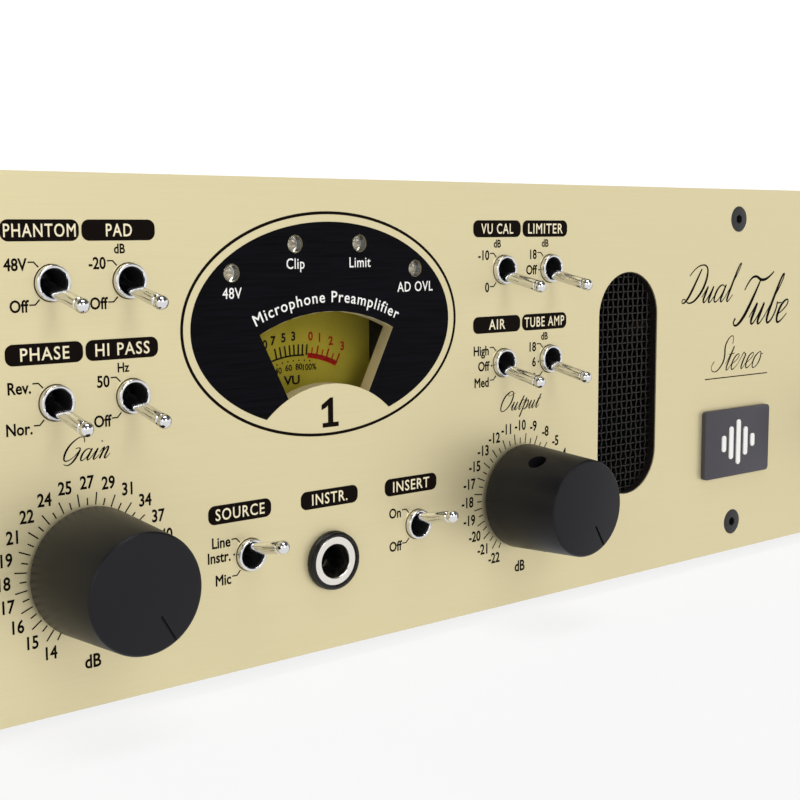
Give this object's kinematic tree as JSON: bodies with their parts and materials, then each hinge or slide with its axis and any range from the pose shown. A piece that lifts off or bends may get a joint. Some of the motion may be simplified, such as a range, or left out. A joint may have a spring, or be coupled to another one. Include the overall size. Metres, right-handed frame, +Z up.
{
  "type": "microphone preamp",
  "caption": "Rack-mount valve microphone preamp with champagne front panel, toggle switches, level meters, gain and output knobs, and sockets front and rear.",
  "frame": {"origin": "middle of the object's box, on the plane of the feet's undersides", "axes": "+X to the right seen from the front, the front panel faces -Y, +Z up"},
  "size_m": [0.4826, 0.2346, 0.091],
  "materials": {
    "champagne_anodised_aluminium": "satin anodised",
    "dark_woven_wire": "matte",
    "charcoal_paint": "satin",
    "blackened_steel": "black oxide",
    "chrome_plate": "mirror plated",
    "black_switch_plastic": "moulded",
    "zinc_plate": "satin plated",
    "clear_lamp_epoxy": "clear moulded",
    "nickel_plate": "plated",
    "gloss_black_plastic": "moulded",
    "matte_black_plastic": "moulded",
    "clear_acrylic": "polished",
    "ivory_dial_card": "printed",
    "black_powder_coat": "fine texture",
    "black_rubber": "matte",
    "green_circuit_board": "solder mask",
    "white_socket_plastic": "moulded",
    "valve_glass": "clear blown",
    "capacitor_sleeve": "shrink sleeve",
    "wound_copper_and_core": "varnished tape",
    "black_knob_plastic": "fine moulded",
    "black_needle_paint": "painted"
  },
  "bodies": {
    "chassis": {"front_panel": "champagne_anodised_aluminium", "grille_meshes": "dark_woven_wire", "badge": "charcoal_paint", "front_screws": "blackened_steel", "toggle_bushings": "chrome_plate", "toggle_switch_bodies": "black_switch_plastic", "potentiometers": "zinc_plate", "bushing_nuts": "zinc_plate", "indicator_leds": "clear_lamp_epoxy", "instrument_jacks": "nickel_plate", "jack_bezels": "gloss_black_plastic", "vu_meter_cases": "matte_black_plastic", "vu_meter_windows": "clear_acrylic", "vu_scale_plates": "ivory_dial_card", "vu_movements": "zinc_plate", "chassis_tray": "black_powder_coat", "top_cover": "black_powder_coat", "rear_panel": "black_powder_coat", "rubber_feet": "black_rubber", "case_screws": "blackened_steel", "xlr_connectors": "matte_black_plastic", "rear_jacks": "gloss_black_plastic", "mains_inlet": "matte_black_plastic", "control_boards": "green_circuit_board", "main_board": "green_circuit_board", "tube_sockets": "white_socket_plastic", "vacuum_tubes": "valve_glass", "filter_capacitors": "capacitor_sleeve", "toroidal_transformer": "wound_copper_and_core"},
    "phantom_lever_1": {"phantom_lever_1": "chrome_plate"},
    "phase_lever_1": {"phase_lever_1": "chrome_plate"},
    "pad_lever_1": {"pad_lever_1": "chrome_plate"},
    "hi_pass_lever_1": {"hi_pass_lever_1": "chrome_plate"},
    "source_lever_1": {"source_lever_1": "chrome_plate"},
    "insert_lever_1": {"insert_lever_1": "chrome_plate"},
    "vu_cal_lever_1": {"vu_cal_lever_1": "chrome_plate"},
    "air_lever_1": {"air_lever_1": "chrome_plate"},
    "limiter_lever_1": {"limiter_lever_1": "chrome_plate"},
    "tube_amp_lever_1": {"tube_amp_lever_1": "chrome_plate"},
    "gain_control_1": {"gain_knob_1": "black_knob_plastic", "gain_shaft_1": "zinc_plate"},
    "output_control_1": {"output_knob_1": "black_knob_plastic", "output_shaft_1": "zinc_plate"},
    "vu_needle_1": {"vu_needle_1": "black_needle_paint"},
    "phantom_lever_2": {"phantom_lever_2": "chrome_plate"},
    "phase_lever_2": {"phase_lever_2": "chrome_plate"},
    "pad_lever_2": {"pad_lever_2": "chrome_plate"},
    "hi_pass_lever_2": {"hi_pass_lever_2": "chrome_plate"},
    "source_lever_2": {"source_lever_2": "chrome_plate"},
    "insert_lever_2": {"insert_lever_2": "chrome_plate"},
    "vu_cal_lever_2": {"vu_cal_lever_2": "chrome_plate"},
    "air_lever_2": {"air_lever_2": "chrome_plate"},
    "limiter_lever_2": {"limiter_lever_2": "chrome_plate"},
    "tube_amp_lever_2": {"tube_amp_lever_2": "chrome_plate"},
    "gain_control_2": {"gain_knob_2": "black_knob_plastic", "gain_shaft_2": "zinc_plate"},
    "output_control_2": {"output_knob_2": "black_knob_plastic", "output_shaft_2": "zinc_plate"},
    "vu_needle_2": {"vu_needle_2": "black_needle_paint"},
    "power_rocker": {"power_rocker": "gloss_black_plastic"}
  },
  "joints": [
    {"name": "phantom_toggle_1", "type": "hinge", "parent": "chassis", "child": "phantom_lever_1", "pos_m": [-0.1765, -0.09298, 0.07355], "axis": [-1, 0, 0], "range_deg": [0, 23.6]},
    {"name": "phase_toggle_1", "type": "hinge", "parent": "chassis", "child": "phase_lever_1", "pos_m": [-0.1765, -0.09298, 0.05445], "axis": [-1, 0, 0], "range_deg": [0, 23.6]},
    {"name": "pad_toggle_1", "type": "hinge", "parent": "chassis", "child": "pad_lever_1", "pos_m": [-0.1629, -0.09298, 0.07355], "axis": [-1, 0, 0], "range_deg": [0, 23.6]},
    {"name": "hi_pass_toggle_1", "type": "hinge", "parent": "chassis", "child": "hi_pass_lever_1", "pos_m": [-0.1629, -0.09298, 0.05445], "axis": [-1, 0, 0], "range_deg": [0, 23.6]},
    {"name": "source_toggle_1", "type": "hinge", "parent": "chassis", "child": "source_lever_1", "pos_m": [-0.1404, -0.09298, 0.02395], "axis": [-1, 0, 0], "range_deg": [-23.6, 0]},
    {"name": "insert_toggle_1", "type": "hinge", "parent": "chassis", "child": "insert_lever_1", "pos_m": [-0.1012, -0.09298, 0.02395], "axis": [-1, 0, 0], "range_deg": [-23.6, 0]},
    {"name": "vu_cal_toggle_1", "type": "hinge", "parent": "chassis", "child": "vu_cal_lever_1", "pos_m": [-0.0778, -0.09298, 0.07355], "axis": [-1, 0, 0], "range_deg": [0, 23.6]},
    {"name": "air_toggle_1", "type": "hinge", "parent": "chassis", "child": "air_lever_1", "pos_m": [-0.0778, -0.09298, 0.05445], "axis": [-1, 0, 0], "range_deg": [0, 23.6]},
    {"name": "limiter_toggle_1", "type": "hinge", "parent": "chassis", "child": "limiter_lever_1", "pos_m": [-0.0643, -0.09298, 0.07355], "axis": [-1, 0, 0], "range_deg": [0, 23.6]},
    {"name": "tube_amp_toggle_1", "type": "hinge", "parent": "chassis", "child": "tube_amp_lever_1", "pos_m": [-0.0643, -0.09298, 0.05445], "axis": [-1, 0, 0], "range_deg": [0, 23.6]},
    {"name": "gain_turn_1", "type": "hinge", "parent": "chassis", "child": "gain_control_1", "pos_m": [-0.1717, -0.10775, 0.02615], "axis": [0, -1, 0], "range_deg": [0, 300]},
    {"name": "output_turn_1", "type": "hinge", "parent": "chassis", "child": "output_control_1", "pos_m": [-0.0729, -0.10775, 0.02615], "axis": [0, -1, 0], "range_deg": [0, 300]},
    {"name": "needle_swing_1", "type": "hinge", "parent": "chassis", "child": "vu_needle_1", "pos_m": [-0.1223, -0.08855, 0.03705], "axis": [0, 1, 0], "range_deg": [0, 60], "stiffness_Nm_per_rad": 0.00001},
    {"name": "phantom_toggle_2", "type": "hinge", "parent": "chassis", "child": "phantom_lever_2", "pos_m": [0.0681, -0.09298, 0.07355], "axis": [-1, 0, 0], "range_deg": [0, 23.6]},
    {"name": "phase_toggle_2", "type": "hinge", "parent": "chassis", "child": "phase_lever_2", "pos_m": [0.0681, -0.09298, 0.05445], "axis": [-1, 0, 0], "range_deg": [0, 23.6]},
    {"name": "pad_toggle_2", "type": "hinge", "parent": "chassis", "child": "pad_lever_2", "pos_m": [0.0817, -0.09298, 0.07355], "axis": [-1, 0, 0], "range_deg": [0, 23.6]},
    {"name": "hi_pass_toggle_2", "type": "hinge", "parent": "chassis", "child": "hi_pass_lever_2", "pos_m": [0.0817, -0.09298, 0.05445], "axis": [-1, 0, 0], "range_deg": [0, 23.6]},
    {"name": "source_toggle_2", "type": "hinge", "parent": "chassis", "child": "source_lever_2", "pos_m": [0.1042, -0.09298, 0.02395], "axis": [-1, 0, 0], "range_deg": [-23.6, 0]},
    {"name": "insert_toggle_2", "type": "hinge", "parent": "chassis", "child": "insert_lever_2", "pos_m": [0.1434, -0.09298, 0.02395], "axis": [-1, 0, 0], "range_deg": [-23.6, 0]},
    {"name": "vu_cal_toggle_2", "type": "hinge", "parent": "chassis", "child": "vu_cal_lever_2", "pos_m": [0.1668, -0.09298, 0.07355], "axis": [-1, 0, 0], "range_deg": [0, 23.6]},
    {"name": "air_toggle_2", "type": "hinge", "parent": "chassis", "child": "air_lever_2", "pos_m": [0.1668, -0.09298, 0.05445], "axis": [-1, 0, 0], "range_deg": [0, 23.6]},
    {"name": "limiter_toggle_2", "type": "hinge", "parent": "chassis", "child": "limiter_lever_2", "pos_m": [0.1803, -0.09298, 0.07355], "axis": [-1, 0, 0], "range_deg": [0, 23.6]},
    {"name": "tube_amp_toggle_2", "type": "hinge", "parent": "chassis", "child": "tube_amp_lever_2", "pos_m": [0.1803, -0.09298, 0.05445], "axis": [-1, 0, 0], "range_deg": [0, 23.6]},
    {"name": "gain_turn_2", "type": "hinge", "parent": "chassis", "child": "gain_control_2", "pos_m": [0.0729, -0.10775, 0.02615], "axis": [0, -1, 0], "range_deg": [0, 300]},
    {"name": "output_turn_2", "type": "hinge", "parent": "chassis", "child": "output_control_2", "pos_m": [0.1717, -0.10775, 0.02615], "axis": [0, -1, 0], "range_deg": [0, 300]},
    {"name": "needle_swing_2", "type": "hinge", "parent": "chassis", "child": "vu_needle_2", "pos_m": [0.1223, -0.08855, 0.03705], "axis": [0, 1, 0], "range_deg": [0, 60], "stiffness_Nm_per_rad": 0.00001},
    {"name": "rocker_tilt", "type": "hinge", "parent": "chassis", "child": "power_rocker", "pos_m": [-0.19, 0.10925, 0.06395], "axis": [1, 0, 0], "range_deg": [-18, 0]}
  ]
}
